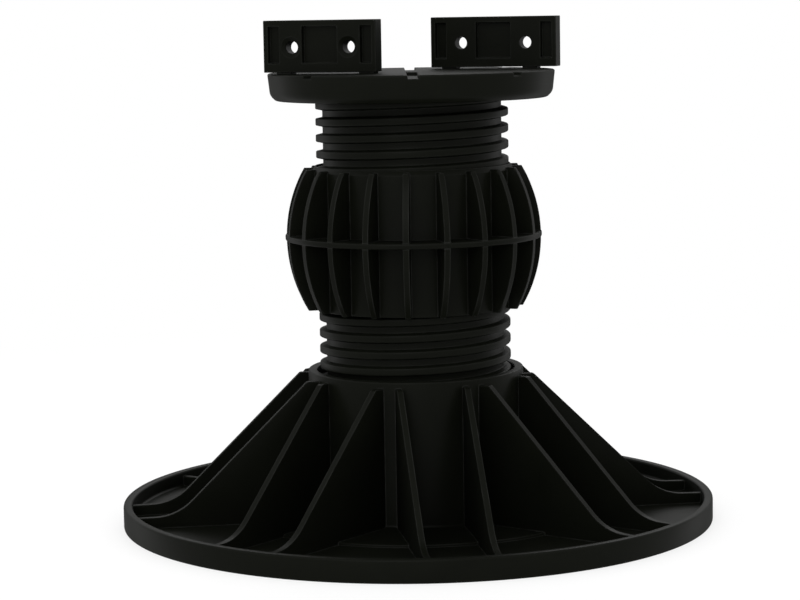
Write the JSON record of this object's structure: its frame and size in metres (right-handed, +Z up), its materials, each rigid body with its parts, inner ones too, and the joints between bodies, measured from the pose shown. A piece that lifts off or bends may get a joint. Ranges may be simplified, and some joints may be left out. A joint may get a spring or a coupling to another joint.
{
  "type": "adjustable deck pedestal",
  "caption": "Adjustable deck pedestal: a ribbed round base with a screw socket, a ribbed turning grip, a screw tube and a swivelling head plate whose clips hold a deck joist.",
  "frame": {"origin": "on the ground, under the middle of the base", "axes": "+Z up along the screw's axis, +X along the joist, between the two clips"},
  "size_m": [0.2, 0.2, 0.1691],
  "materials": {
    "black_plastic": "black moulded polypropylene, satin with a fine grain"
  },
  "bodies": {
    "base": {"base": "black_plastic"},
    "head": {"head_plate": "black_plastic", "clip_front": "black_plastic", "clip_rear": "black_plastic"},
    "column": {"grip": "black_plastic", "head_screw": "black_plastic"}
  },
  "joints": [
    {"name": "height", "type": "slide", "parent": "base", "child": "head", "axis": [0, 0, 1], "range_m": [-0.02, 0.01]},
    {"name": "grip_turn", "type": "hinge", "parent": "head", "child": "column", "pos_m": [0, 0, 0.1], "axis": [0, 0, 1], "range_deg": [-1320, 660]}
  ],
  "couplings": [
    {"joint": "height", "follows": "grip_turn", "m_per_rad": 0.0008658}
  ]
}
